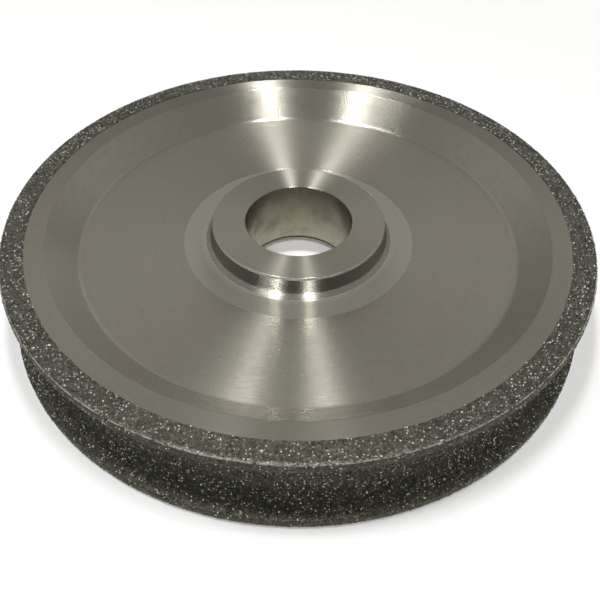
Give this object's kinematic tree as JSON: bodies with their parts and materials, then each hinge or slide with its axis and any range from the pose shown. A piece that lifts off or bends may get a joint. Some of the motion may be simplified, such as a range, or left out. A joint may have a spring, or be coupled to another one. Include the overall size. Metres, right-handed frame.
{
  "type": "diamond grinding wheel",
  "caption": "Round metal grinding wheel with a dished web, a raised bored hub, and a diamond-coated rim that has a concave groove between its lips.",
  "frame": {"origin": "on the wheel's axis, at the rear face of the rim, which it lies on", "axes": "+Z along the axis, out of the front face with the raised boss; X and Y are equal"},
  "size_m": [0.175, 0.175, 0.028],
  "materials": {
    "turned_steel": "satin, turned in fine rings",
    "hub_steel": "finer turned satin",
    "nickel": "rough plated, worn bright on the lip corners",
    "diamond_grit": "coarse crystals set in dull nickel"
  },
  "bodies": {
    "root": {"core": "turned_steel", "hub_insert": "hub_steel", "nickel_bond": "nickel", "grit_front_band": "diamond_grit", "grit_front_lip": "diamond_grit", "grit_groove": "diamond_grit", "grit_rear_lip": "diamond_grit", "grit_rear_band": "diamond_grit"}
  },
  "joints": []
}
